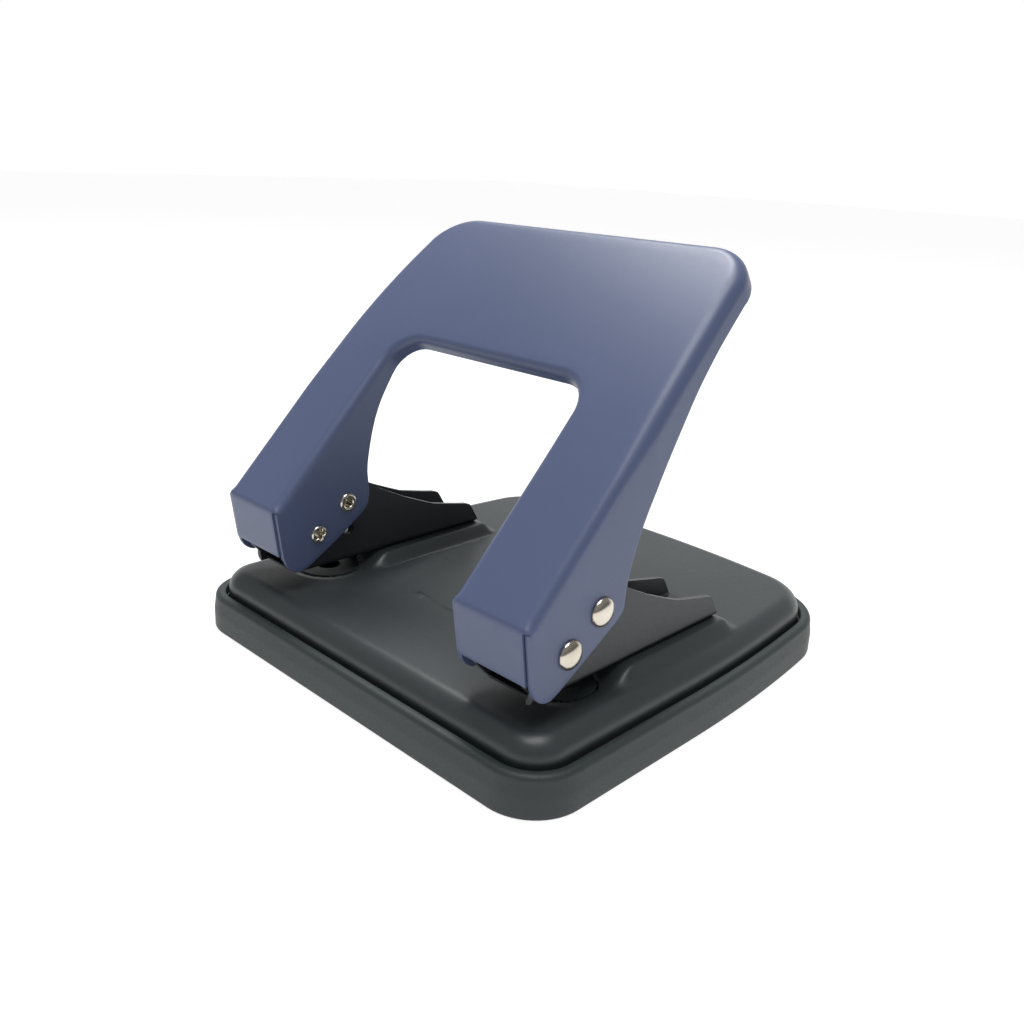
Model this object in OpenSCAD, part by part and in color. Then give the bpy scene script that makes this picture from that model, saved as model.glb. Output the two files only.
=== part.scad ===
// Two-hole desk punch: pressed-steel lever, two pressed brackets, steel base
// plate and a clip-on chip tray. Millimetres. Origin at the centre of the
// underside; X runs along the line of the two holes, +Y to the rear, +Z up.

/* [Base] */
// overall width of the chip tray
tray_w = 119.2; // [100:0.2:140]
// overall depth of the chip tray, front to rear
tray_d = 120.4; // [100:0.2:140]
// height of the tray's rim
tray_h = 9.2; // [6:0.1:14]
// height of the base plate's flat top, where paper lies
deck_z = 14.3; // [12:0.1:20]
// radius of the tray's two front corners
front_r = 13; // [6:0.5:20]
// radius of the tray's two rear corners
rear_r = 20; // [8:0.5:26]
// thickness of the base plate's sheet steel
base_t = 1.2; // [0.8:0.1:2]
// outer radius of the base plate's rounded shoulder
shoulder_r = 4.6; // [2:0.1:7]
// gap that the paper slides into, under each bracket
throat = 3; // [2:0.1:4]

/* [Punches] */
// distance between the two hole centres
hole_pitch = 80; // [60:0.5:110]
// hole diameter that the punches cut
punch_dia = 5.9; // [5:0.1:7]
// front-to-rear place of the punch axes
punch_y = -33; // [-45:0.5:-20]
// full travel of each punch
stroke = 7; // [4:0.1:9]
// wire diameter of the return springs
spring_wire = 0.6; // [0.4:0.05:1]
// turns in each return spring
spring_turns = 5; // [3:1:8]

/* [Lever] */
// overall width of the lever
lever_w = 100.6; // [80:1:120]
// width of each lever arm
arm_w = 20.3; // [14:0.1:26]
// thickness of the lever's sheet steel
lever_t = 1.2; // [0.8:0.1:2]
// outer radius of the lever's folded edges
fold_r = 2.2; // [1.5:0.1:5]
// slope of the arms' top face at rest, degrees
lever_tilt = 46; // [30:1:60]
// length of the lever's top face along its slope
lever_len = 93.3; // [70:1:110]
// length of the straight part, before the top face curves down
straight_len = 45; // [30:1:60]
// radius of the top face's gentle curve
bend_r = 270; // [150:10:600]
// distance along the top face to the finger opening's rear edge
window_s = 52.2; // [40:0.2:65]

/* [Brackets] */
// outer width of each bracket channel
bracket_w = 14.6; // [12:0.1:18]
// thickness of the brackets' sheet steel
bracket_t = 1.2; // [0.8:0.1:2]
// diameter of the hollow rivets' shanks
rivet_dia = 3.6; // [3:0.1:5]

/* [Hidden] */
$fn = 48;
eps = 0.01;
half_w = tray_w / 2;
half_d = tray_d / 2;
px = hole_pitch / 2;
side_bow_r = 400;
side_bow_y = -10;
rear_bow_r = 300;

// tray profile
wall_lean = 0.45;
wall_knee = 4.8;
foot_r = 0.6;
rim_in = 3;
rim_r = 1.3;
rim_break = 0.3;
groove_z = 7;
liner_in = 3.4;
shelf_z = 3;
shelf_in = 6.6;
floor_t = 1.6;

// base plate
skirt_in = 3.75;
pad_z = deck_z + throat;
pad_half = 10.6;
pad_front = -21.5;
pad_rear = 14.6;
pad_slope = 1.6;
pad_run = 6;
pad_ease = 1;
pad_root = 0.2;
plate_cut = 5;
die_r = 7.75;
die_t = 2;
die_sink = 0.2;
die_gap = 0.03;
mark_w = 20;
mark_y = -27.6;
mark_h = 0.3;
mark_t = 0.8;

// lever frame: front top corner, pivot and drive pin
nose_y = -54.5;
nose_z = 35.6;
pivot_y = -42.65;
pivot_z = 27.5;
drive_arm = 10.65;
drive_angle = 35.8;
lever_swing = drive_angle - asin(sin(drive_angle) - stroke / drive_arm);
drive_y = pivot_y + drive_arm * cos(drive_angle);
drive_z = pivot_z + drive_arm * sin(drive_angle);
flap_lean = 8;
flap_z = 24;
slit_w = 0.3;
end_tilt = lever_tilt - (lever_len - straight_len) / bend_r * 180 / PI;
side_taper = 4.3;
taper_u = -47;
rear_corner_r = 12;
window_r = 8;
window_lip = 3.7;
rear_lip = 6.1;
section_d = 60;
bend_step = 0.02;
gusset_sink = 0.3;
bend_mid = (straight_len + lever_len) / 2;
outline_far = -150;

// rivets
rivet_r = rivet_dia / 2;
rivet_bore_r = 1.15;
rivet_hole_r = rivet_r + 0.05;
head_r = 3.1;
head_h = 1.6;
roll_r = 2.35;
pivot_roll_r = 2.15;
roll_h = 0.55;
slot_gap = 0.3;
slot_over = 2;
pivot_gap = 0.08;

// bracket
bracket_z = pad_z;
bracket_front = -50.9;
bracket_foot = -49;
bracket_toe = -47;
bracket_rear = 12.5;
bracket_top = 40;
bend_out = 1.6;

// punch stack
punch_r = punch_dia / 2;
fit = 0.05;
bush_r = 4;
bush_top = 22;
seat_r = 5.5;
seat_h = 0.8;
drive_gap = 0.33;
punch_top = drive_z - rivet_r - drive_gap;
punch_tip = bracket_z + 0.6;
clip_z = punch_top - 1.1;
clip_t = 0.6;
clip_r = 4.4;
groove_r = 2.4;
washer_t = 0.6;
washer_r = 5.2;
spring_r = 4.8;
spring_z0 = bracket_z + bracket_t + seat_h;
spring_z1 = clip_z - washer_t;
tip_cut_r = 5;

// bracket fixing rivets
fix_y = [-12, 5];
fix_r = 1.6;
fix_head_r = 3;
fix_head_h = 1.2;
fix_rim = 0.4;
fix_crown = 1;

lever_blue = [0.39, 0.42, 0.53];
plate_grey = [0.3, 0.32, 0.32];
tray_grey = [0.26, 0.29, 0.28];
bracket_black = [0.16, 0.17, 0.18];
nickel = [0.78, 0.74, 0.66];
steel = [0.62, 0.62, 0.64];

// ---- rounded plan outline shared by the tray and the base plate ----
// centre of the rear corner circle: it touches the bowed side and rear
side_c = [half_w - side_bow_r, side_bow_y];
rear_c = [0, half_d - rear_bow_r];
ra = side_bow_r - rear_r;
rb = rear_bow_r - rear_r;
cc = rear_c - side_c;
cd = norm(cc);
ch = (ra * ra - rb * rb + cd * cd) / (2 * cd);
cp = sqrt(ra * ra - ch * ch);
corner_c = side_c + cc / cd * ch + [-cc[1], cc[0]] / cd * cp;
corner_a = atan2(corner_c[1] - side_c[1], corner_c[0] - side_c[0]);
corner_b = atan2(corner_c[1] - rear_c[1], corner_c[0] - rear_c[0]);
front_c = [half_w - front_r, -half_d + front_r];

function arc(c, r, a0, a1, n) =
    [for (i = [0:n]) let (a = a0 + (a1 - a0) * i / n) c + r * [cos(a), sin(a)]];
function half_plan(inset) = concat(
    arc(front_c, front_r - inset, -90, 0, 8),
    arc(side_c, side_bow_r - inset, 0, corner_a, 5),
    arc(corner_c, rear_r - inset, corner_a, corner_b, 9),
    arc(rear_c, rear_bow_r - inset, corner_b, 90, 5));
function dedupe(p) =
    [for (i = [0:len(p) - 1]) if (i == 0 || norm(p[i] - p[max(i - 1, 0)]) > eps) p[i]];
function mirrored(p) = [for (i = [len(p) - 1:-1:0]) if (p[i][0] > eps) [-p[i][0], p[i][1]]];
function plan(inset) = let (h = dedupe(half_plan(inset))) concat(h, mirrored(h));

// closed solid through a list of [inset, z] rings, capped at both ends
module ring_loft(rings) {
    plans = [for (r = rings) plan(r[0])];
    n = len(plans[0]);
    m = len(rings);
    pts = [for (j = [0:m - 1]) for (i = [0:n - 1]) [plans[j][i][0], plans[j][i][1], rings[j][1]]];
    sides = [for (j = [0:m - 2]) for (i = [0:n - 1])
        [j * n + i, (j + 1) * n + i, (j + 1) * n + (i + 1) % n, j * n + (i + 1) % n]];
    first = [for (i = [0:n - 1]) i];
    last = [for (i = [n - 1:-1:0]) (m - 1) * n + i];
    polyhedron(points = pts, faces = concat([first], sides, [last]), convexity = 6);
}

function fillet(inset, z, r, a0, a1, n) =
    [for (i = [0:n]) let (a = a0 + (a1 - a0) * i / n) [inset + r - r * cos(a), z + r * sin(a)]];

module chip_tray() {
    color(tray_grey) ring_loft(concat(
        fillet(0, foot_r, foot_r, -90, 0, 4),
        [[0, wall_knee]],
        fillet(wall_lean, tray_h - rim_r, rim_r, 0, 90, 5),
        [[rim_in - rim_break, tray_h], [rim_in, tray_h - rim_break], [rim_in, groove_z],
         [liner_in, groove_z], [liner_in, shelf_z],
         [shelf_in, shelf_z], [shelf_in, floor_t]]));
}

// ---- base plate ----
module pad_block(grow, top, foot) {
    wide = pad_half + pad_slope;
    intersection() {
        translate([0, pad_rear, 0]) rotate([90, 0, 0])
            linear_extrude(pad_rear - pad_front + pad_run + pad_ease)
                polygon([[-wide - grow, foot], [wide + grow, foot],
                    [pad_half + grow, top], [-pad_half - grow, top]]);
        translate([-2 * wide, 0, 0]) rotate([90, 0, 90]) linear_extrude(4 * wide)
            polygon([[pad_front - pad_run - grow, foot], [pad_rear + grow, foot],
                [pad_rear - pad_slope - pad_ease + grow, top],
                [pad_front + pad_ease - grow, top]]);
    }
}

module base_plate() {
    in_r = shoulder_r - base_t;
    color(plate_grey) difference() {
        union() {
            ring_loft(concat(
                [[skirt_in + base_t, deck_z - shoulder_r]],
                [[skirt_in + base_t, shelf_z], [skirt_in, shelf_z]],
                fillet(skirt_in, deck_z - shoulder_r, shoulder_r, 0, 90, 6)));
            for (sx = [-1, 1]) translate([sx * px, 0, 0])
                pad_block(0, pad_z, deck_z - base_t / 2);
            translate([-mark_w / 2, mark_y - mark_t / 2, deck_z - base_t / 2])
                cube([mark_w, mark_t, base_t / 2 + mark_h]);
        }
        ring_loft(concat(
            [[skirt_in + base_t, shelf_z - 1]],
            fillet(skirt_in + base_t, deck_z - shoulder_r, in_r, 0, 90, 5)));
        for (sx = [-1, 1]) translate([sx * px, 0, 0]) {
            pad_block(-base_t, pad_z - base_t, deck_z - base_t - pad_root);
            translate([0, punch_y, deck_z - plate_cut])
                cylinder(r = die_r + die_gap, h = 2 * plate_cut);
            for (fy = fix_y) translate([0, fy, deck_z - plate_cut])
                cylinder(r = fix_r + fit, h = 3 * plate_cut);
        }
    }
}

module die_at(x) {
    color(plate_grey) translate([x, punch_y, deck_z - die_sink - die_t]) difference() {
        cylinder(r = die_r, h = die_t);
        translate([0, 0, -1]) cylinder(r = punch_r + fit, h = die_t + 2);
    }
}
module left_die() { die_at(-px); }
module right_die() { die_at(px); }

// ---- brackets ----
// side view of a bracket wall, [y, z]
wall_side = [
    [bracket_foot, bracket_z - 1], [bracket_foot, 19.8], [bracket_front, 21.9],
    [-50.3, 25], [-48.8, 31],
    [-46.3, 35.2], [-42.5, 37.6], [-37, 39.2], [-31.5, 39.2], [-27.8, 37.9],
    [-24.9, 36.1], [-22.6, 34.5], [-18.2, 32.3], [-13.6, 30.1], [-8.5, 28],
    [-3.9, 26.2], [1.8, 24.9], [4.5, 24.3], [8, 23.6], [9.4, 23.1], [10.3, 21.9],
    [12.1, 18.9], [bracket_rear, 18.4], [bracket_rear, bracket_z - 1]
];

module channel(w, r, z0) {
    translate([-w / 2, z0 + r]) square([w, bracket_top - z0]);
    translate([-w / 2 + r, z0]) square([w - 2 * r, r + eps]);
    for (sx = [-1, 1]) translate([sx * (w / 2 - r), z0 + r]) circle(r = r);
}

module drive_slot() {
    w = rivet_r + slot_gap;
    a0 = drive_angle - lever_swing - slot_over;
    a1 = drive_angle + slot_over;
    translate([0, pivot_y, pivot_z]) rotate([90, 0, 90]) {
        translate([0, 0, -bracket_w]) rotate([0, 0, a0])
            rotate_extrude(angle = a1 - a0, $fn = 96)
                translate([drive_arm - w, 0]) square([2 * w, 2 * bracket_w]);
        for (a = [a0, a1]) rotate([0, 0, a]) translate([drive_arm, 0, -bracket_w])
            cylinder(r = w, h = 2 * bracket_w);
    }
}

// front of the floor and of the wall that faces the middle, cut back on a slant
toe_side = [
    [-60, bracket_z - 1], [bracket_toe, bracket_z - 1], [bracket_toe, bracket_z + 0.3],
    [bracket_front, 21.9], [-60, 21.9]
];

module bracket_at(side) {
    len_y = bracket_rear - bracket_front;
    color(bracket_black) mirror([side < 0 ? 1 : 0, 0, 0]) translate([px, 0, 0]) difference() {
        intersection() {
            translate([0, bracket_rear, 0]) rotate([90, 0, 0]) linear_extrude(len_y)
                difference() {
                    channel(bracket_w, bend_out, bracket_z);
                    channel(bracket_w - 2 * bracket_t, bend_out - bracket_t,
                        bracket_z + bracket_t);
                }
            translate([-bracket_w, 0, 0]) rotate([90, 0, 90]) linear_extrude(2 * bracket_w)
                polygon(wall_side);
        }
        translate([-bracket_w, 0, 0]) rotate([90, 0, 90])
            linear_extrude(1.5 * bracket_w - bend_out) polygon(toe_side);
        drive_slot();
        translate([-bracket_w, pivot_y, pivot_z]) rotate([0, 90, 0])
            cylinder(r = rivet_r + pivot_gap, h = 2 * bracket_w);
        translate([0, punch_y, bracket_z - 1]) cylinder(r = bush_r + fit, h = 5);
        for (fy = fix_y) translate([0, fy, bracket_z - 1]) cylinder(r = fix_r + fit, h = 5);
    }
}
module left_bracket() { bracket_at(-1); }
module right_bracket() { bracket_at(1); }

module fix_rivet() {
    low = pad_z - base_t;
    high = bracket_z + bracket_t;
    rotate_extrude() polygon([[0, low - fix_head_h], [fix_head_r * 0.7, low - fix_head_h],
        [fix_head_r, low - fix_rim], [fix_head_r, low], [fix_r, low], [fix_r, high],
        [fix_head_r, high], [fix_head_r, high + fix_rim],
        [fix_head_r * 0.7, high + fix_crown], [0, high + fix_head_h]]);
}
module bracket_rivets_at(x) {
    color(steel) for (fy = fix_y) translate([x, fy, 0]) fix_rivet();
}
module left_bracket_rivets() { bracket_rivets_at(-px); }
module right_bracket_rivets() { bracket_rivets_at(px); }

// flanged sleeve in the bracket floor that guides the punch
module bush_at(x) {
    seat = bracket_z + bracket_t;
    color(steel) translate([x, punch_y, 0]) rotate_extrude()
        polygon([[punch_r + fit, bracket_z], [bush_r, bracket_z], [bush_r, seat],
            [seat_r, seat], [seat_r, seat + seat_h], [bush_r, seat + seat_h],
            [bush_r, bush_top], [punch_r + fit, bush_top]]);
}
module left_guide_bush() { bush_at(-px); }
module right_guide_bush() { bush_at(px); }

// ---- lever ----
// point [y, z] on the lever's top face at distance s, d below the surface
function top_a(s) = s <= straight_len ? lever_tilt
    : lever_tilt - (s - straight_len) / bend_r * 180 / PI;
function top_c() = [
    nose_y + straight_len * cos(lever_tilt) + bend_r * sin(lever_tilt),
    nose_z + straight_len * sin(lever_tilt) - bend_r * cos(lever_tilt)];
function top_pt(s, d) = s <= straight_len
    ? [nose_y + s * cos(lever_tilt) + d * sin(lever_tilt),
       nose_z + s * sin(lever_tilt) - d * cos(lever_tilt)]
    : top_c() + (bend_r - d) * [-sin(top_a(s)), cos(top_a(s))];

module fold_section(x0, x1, r) {
    translate([x0, -section_d]) square([x1 - x0, section_d - r]);
    translate([x0 + r, -r - eps]) square([x1 - x0 - 2 * r, r + eps]);
    for (cx = [x0 + r, x1 - r]) translate([cx, -r]) circle(r = r);
}

// a folded section run straight along the tangent to the top face at s, inset t
module lever_run(x0, x1, s, from, to, t) {
    e = top_pt(s, 0);
    translate([0, e[0], e[1]]) rotate([90 + top_a(s), 0, 0]) translate([0, -t, s - to])
        linear_extrude(to - from) fold_section(x0, x1, fold_r - t);
}

module lever_plan(t) {
    r = rear_corner_r - t;
    w = lever_w / 2;
    run = -rear_corner_r * (1 - sin(side_taper)) - taper_u;
    cx = w - run * tan(side_taper) - rear_corner_r * cos(side_taper);
    far_x = w - t + (taper_u - outline_far) * tan(side_taper);
    right = arc([cx, -rear_corner_r], r, side_taper, 90, 9);
    left = [for (i = [len(right) - 1:-1:0]) [-right[i][0], right[i][1]]];
    polygon(concat([[-far_x, outline_far], [far_x, outline_far]], right, left));
}

module plan_prism(t) {
    e = top_pt(lever_len, 0);
    translate([0, e[0], e[1]]) rotate([end_tilt, 0, 0]) translate([0, 0, -90])
        linear_extrude(130) lever_plan(t);
}

module side_prism(pts, x0, x1) {
    translate([x0, 0, 0]) rotate([90, 0, 90]) linear_extrude(x1 - x0) polygon(pts);
}

// side view of the lever, nose and lower edges of the outer flanges
nose_c = [nose_y + 0.7 * fold_r, nose_z - 0.783 * fold_r];
outer_side = concat(
    arc(nose_c, fold_r, lever_tilt + 90, 180 + flap_lean, 5),
    [[-53.5, 27], [-51.6, 21.4], [-50.7, 20.3], [-49.5, 19.6], [-47.9, 19.3], [-46.5, 19.7],
     [-43.1, 21.5], [-37.4, 24.9], [-28.6, 30.6], [-27.4, 31.7], [-26.9, 33.2],
     [-26.6, 38.4], [-25.5, 42.8], [-23.5, 48.2], [-18, 58.8]],
    [top_pt(58, 8.6), top_pt(64, 7), top_pt(72, rear_lip), top_pt(84, rear_lip),
     top_pt(lever_len + 6, rear_lip), top_pt(lever_len + 6, -6), top_pt(70, -6),
     top_pt(straight_len, -6)]);
inner_trim = concat(
    [[-28.6, 31.2], [-27.5, 34.8], [-28.1, 38], [-28.4, 40.9], [-27.9, 42.8], [-26.7, 49.5],
     [-24.3, 56.8]],
    [top_pt(46.5, 5.2), top_pt(51, window_lip), top_pt(64, window_lip), top_pt(64, 40),
     [-20, 31]]);

module lever_solid(t) {
    w = lever_w / 2 - t;
    inner = lever_w / 2 - arm_w + t;
    past = lever_len + 15;
    intersection() {
        union() {
            for (m = [0, 1]) mirror([m, 0, 0]) {
                lever_run(inner, w, straight_len, -12, past, t);
                window_fillet(inner, t);
            }
            lever_run(-w, w, straight_len, window_s + t, past, t);
        }
        lever_run(-w - bend_step, w + bend_step, bend_mid, -30, past, t);
        lever_run(-w - 2 * bend_step, w + 2 * bend_step, lever_len, -60, past, t);
        plan_prism(t);
    }
}

// gusset that rounds the finger opening's two rear corners
module window_fillet(inner, t) {
    r = window_r - t;
    translate([0, nose_y, nose_z]) rotate([lever_tilt, 0, 0])
        translate([0, window_s, -section_d]) linear_extrude(section_d - gusset_sink - t) difference() {
            translate([inner - r, t - r]) square([r + 1, r + 1]);
            translate([inner - r, t - r]) circle(r = r);
        }
}

module lever_handle() {
    half = lever_w / 2;
    inner = half - arm_w;
    color(lever_blue) difference() {
        intersection() {
            lever_solid(0);
            side_prism(outer_side, -half, half);
        }
        intersection() {
            lever_solid(lever_t);
            side_prism([
                [nose_y + lever_t + 0.2, nose_z - 2], [nose_y + lever_t + 2, 15],
                [60, 15], [60, 120], [0, 120], top_pt(straight_len, -8),
                [nose_y + lever_t + 1.6, nose_z - 0.6]], -half, half);
        }
        side_prism(inner_trim, -inner - lever_t - 0.2, inner + lever_t + 0.2);
        for (sx = [-1, 1]) {
            mid = sx * px;
            clear = arm_w - 2 * lever_t;
            translate([mid - clear / 2, nose_y - 3, 10]) cube([clear, 6, flap_z - 10]);
            for (ex = [-1, 1])
                translate([mid + ex * (clear / 2 - slit_w / 2) - slit_w / 2, nose_y - 2, 10])
                    cube([slit_w, 2 + lever_t + 0.8, nose_z - 3.4 - 10]);
        }
        for (p = [[pivot_y, pivot_z], [drive_y, drive_z]])
            translate([-half - 1, p[0], p[1]]) rotate([0, 90, 0])
                cylinder(r = rivet_hole_r, h = lever_w + 2);
    }
}

// hollow rivet along +X: rolled end on the inner flange, domed head outside
module rivet(roll) {
    x0 = lever_w / 2 - arm_w;
    x1 = lever_w / 2;
    rotate([0, 90, 0]) difference() {
        union() {
            translate([0, 0, x0 - eps]) cylinder(r = rivet_r, h = x1 - x0 + 2 * eps);
            translate([0, 0, x0]) mirror([0, 0, 1]) rotate_extrude()
                polygon([[0, 0], [roll, 0], [roll, roll_h * 0.5],
                    [roll - roll_h * 0.5, roll_h], [0, roll_h]]);
            translate([0, 0, x1]) intersection() {
                translate([0, 0, head_h - 4]) sphere(r = 4, $fn = 64);
                cylinder(r = head_r, h = head_h);
            }
        }
        translate([0, 0, x0 - 2]) cylinder(r = rivet_bore_r, h = x1 - x0 + 1);
    }
}
module rivet_at(side, y, z, roll) {
    color(nickel) translate([0, y, z]) mirror([side < 0 ? 1 : 0, 0, 0]) rivet(roll);
}
module left_pivot_rivet() { rivet_at(-1, pivot_y, pivot_z, pivot_roll_r); }
module right_pivot_rivet() { rivet_at(1, pivot_y, pivot_z, pivot_roll_r); }
module left_drive_rivet() { rivet_at(-1, drive_y, drive_z, roll_r); }
module right_drive_rivet() { rivet_at(1, drive_y, drive_z, roll_r); }

// ---- punches ----
module punch_at(x) {
    color(steel) translate([x, punch_y, 0]) difference() {
        rotate_extrude() polygon([[0, punch_tip], [punch_r, punch_tip], [punch_r, clip_z],
            [groove_r, clip_z], [groove_r, clip_z + clip_t], [punch_r, clip_z + clip_t],
            [punch_r, punch_top - 0.3], [punch_r - 0.3, punch_top], [0, punch_top]]);
        translate([-10, 0, punch_tip - tip_cut_r + 1.2]) rotate([0, 90, 0])
            cylinder(r = tip_cut_r, h = 20);
    }
}
module left_punch() { punch_at(-px); }
module right_punch() { punch_at(px); }

module washer_at(x) {
    color(steel) translate([x, punch_y, clip_z - washer_t]) difference() {
        cylinder(r = washer_r, h = washer_t);
        translate([0, 0, -1]) cylinder(r = punch_r + fit, h = washer_t + 2);
    }
}
module left_spring_washer() { washer_at(-px); }
module right_spring_washer() { washer_at(px); }

// E-shaped clip in the punch's groove, open to the rear
module clip_at(x) {
    color(bracket_black) translate([x, punch_y, clip_z]) difference() {
        cylinder(r = clip_r, h = clip_t);
        translate([0, 0, -1]) cylinder(r = groove_r + fit, h = clip_t + 2);
        translate([-groove_r * 0.8, 0, -1]) cube([groove_r * 1.6, clip_r + 1, clip_t + 2]);
    }
}
module left_punch_clip() { clip_at(-px); }
module right_punch_clip() { clip_at(px); }

// helical wire with flat closed ends
module spring_at(x) {
    wr = spring_wire / 2;
    steps = 14;
    sides = 6;
    count = steps * spring_turns;
    free = spring_z1 - spring_z0 - spring_wire - 2 * eps;
    pts = [for (i = [0:count]) let (
            a = 360 * i / steps,
            k = i / count,
            lift = min(max((k - 0.12) / 0.76, 0), 1),
            z = spring_z0 + wr + eps + free * lift)
        for (j = [0:sides - 1]) let (b = 360 * j / sides)
            [(spring_r + wr * cos(b)) * cos(a), (spring_r + wr * cos(b)) * sin(a),
             z + wr * sin(b)]];
    sides_f = [for (i = [0:count - 1]) for (j = [0:sides - 1])
        [i * sides + j, i * sides + (j + 1) % sides,
         (i + 1) * sides + (j + 1) % sides, (i + 1) * sides + j]];
    cap0 = [for (j = [sides - 1:-1:0]) j];
    cap1 = [for (j = [0:sides - 1]) count * sides + j];
    color(nickel) translate([x, punch_y, 0])
        polyhedron(points = pts, faces = concat([cap0], sides_f, [cap1]), convexity = 12);
}
module left_return_spring() { spring_at(-px); }
module right_return_spring() { spring_at(px); }

chip_tray();
base_plate();
left_die();
right_die();
left_bracket();
right_bracket();
left_bracket_rivets();
right_bracket_rivets();
left_guide_bush();
right_guide_bush();
lever_handle();
left_pivot_rivet();
right_pivot_rivet();
left_drive_rivet();
right_drive_rivet();
left_punch();
right_punch();
left_spring_washer();
right_spring_washer();
left_punch_clip();
right_punch_clip();
left_return_spring();
right_return_spring();
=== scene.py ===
"""Two-hole desk punch: folded steel lever, channel brackets, enamelled base plate and chip tray."""
import math

import bmesh
import bpy
import numpy as np
from bpy.props import FloatProperty, FloatVectorProperty, IntProperty, PointerProperty
from bpy.types import Operator, Panel, PropertyGroup
from mathutils import Matrix, Vector


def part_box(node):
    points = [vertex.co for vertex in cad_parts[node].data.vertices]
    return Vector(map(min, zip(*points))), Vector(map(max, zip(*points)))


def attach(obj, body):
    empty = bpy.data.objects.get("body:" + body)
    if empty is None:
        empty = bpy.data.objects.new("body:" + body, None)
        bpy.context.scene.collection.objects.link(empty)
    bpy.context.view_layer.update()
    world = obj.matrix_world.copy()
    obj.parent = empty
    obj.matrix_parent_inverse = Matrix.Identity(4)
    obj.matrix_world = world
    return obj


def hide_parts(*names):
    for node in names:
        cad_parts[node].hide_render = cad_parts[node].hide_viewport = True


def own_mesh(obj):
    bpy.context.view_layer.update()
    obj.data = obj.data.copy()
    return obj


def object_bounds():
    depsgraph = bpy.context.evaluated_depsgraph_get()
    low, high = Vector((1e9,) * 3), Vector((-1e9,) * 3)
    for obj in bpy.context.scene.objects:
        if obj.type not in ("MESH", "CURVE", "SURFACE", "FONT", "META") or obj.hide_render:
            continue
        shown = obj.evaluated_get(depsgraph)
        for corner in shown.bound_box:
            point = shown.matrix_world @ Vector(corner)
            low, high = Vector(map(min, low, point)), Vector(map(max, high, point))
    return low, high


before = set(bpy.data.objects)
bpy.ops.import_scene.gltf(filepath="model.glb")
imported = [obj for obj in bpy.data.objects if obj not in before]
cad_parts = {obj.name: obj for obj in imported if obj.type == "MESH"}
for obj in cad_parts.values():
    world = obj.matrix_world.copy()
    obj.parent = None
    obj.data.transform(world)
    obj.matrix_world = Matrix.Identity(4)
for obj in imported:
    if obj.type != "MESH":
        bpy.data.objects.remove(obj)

bl_info = {
    "name": "Two-hole desk punch",
    "version": (1, 0, 0),
    "blender": (4, 5, 0),
    "location": "3D View > Sidebar > Desk punch",
    "description": "Builds the folded lever, base plate, tray, rivets and springs of a desk punch",
    "category": "Object",
}

MM = 0.001
HIGH = np.array(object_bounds()[1]) / MM


def node_box(name):
    """Lowest and highest corner of a CAD node at rest, in millimetres."""
    return tuple(np.array(c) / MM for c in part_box(name))


# ---------------------------------------------------------------- mesh helpers
def grid_faces(rows, cols, wrap=False):
    """Quads between neighbouring rows and columns of a rows x cols grid; wrap joins the last column to the
    first."""
    r = np.arange(rows - 1)[:, None]
    c = np.arange(cols if wrap else cols - 1)[None, :]
    d = (c + 1) % cols
    corners = [r * cols + c, r * cols + d, (r + 1) * cols + d, (r + 1) * cols + c]
    return np.stack(corners, -1).reshape(-1, 4)


def surface(name, points, faces, material, body, stands_for=(), smooth=35.0):
    """Puts points in millimetres and their faces into one mesh object that rides on a body. Raises an error
    if no face is left."""
    mesh = bpy.data.meshes.new(name)
    places = (np.asarray(points).reshape(-1, 3) * MM).tolist()
    mesh.from_pydata(places, [], [list(map(int, f)) for f in faces])
    mesh.validate()
    if not len(mesh.polygons):
        raise RuntimeError(f"{name} has no faces")
    mesh.shade_smooth()
    mesh.set_sharp_from_angle(angle=math.radians(smooth))
    piece = bpy.data.objects.new(name, mesh)
    bpy.context.scene.collection.objects.link(piece)
    piece.data.materials.append(material)
    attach(piece, body)
    if stands_for:
        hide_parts(*stands_for)
    return piece


def weld(piece, distance=0.002):
    """Merges the piece's doubled vertices, closer than distance in millimetres."""
    b = bmesh.new()
    b.from_mesh(piece.data)
    bmesh.ops.remove_doubles(b, verts=b.verts, dist=distance * MM)
    bmesh.ops.dissolve_degenerate(b, edges=b.edges, dist=distance * MM)
    b.to_mesh(piece.data)
    b.free()


# petals of a pivot rivet's rolled end: radii between which they lie, the height below which they lie, and
# their depth as a share of the radius
PETAL_IN, PETAL_OUT, PETAL_END = 0.5, 1.6, -15.0
PETAL_DEPTH = 0.28


def revolve(profile, around, centre, steps, lobes):
    """Surface of revolution: each (radius, height) of the profile turned round an axis through centre. The
    height runs along `around`, and the radius turns through the two directions square to it. Lobes splits
    the bore's rolled end into five petals, r (1 + lobes cos 5t)."""
    profile = np.asarray(profile, float)
    axis = np.asarray(around, float)
    side = np.cross(axis, [0.0, 0.0, 1.0] if abs(axis[2]) < 0.9 else [1.0, 0.0, 0.0])
    side /= np.linalg.norm(side)
    other = np.cross(axis, side)
    turn = np.linspace(0.0, 2 * math.pi, steps, endpoint=False)[None, :, None]
    radius = profile[:, 0][:, None, None]
    height = profile[:, 1][:, None, None]
    petal = lobes * ((radius < PETAL_OUT) & (radius > PETAL_IN) & (height < PETAL_END))
    radius = radius * (1 + petal * np.cos(5 * turn))
    return np.asarray(centre) + height * axis + radius * (np.cos(turn) * side + np.sin(turn) * other)


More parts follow.
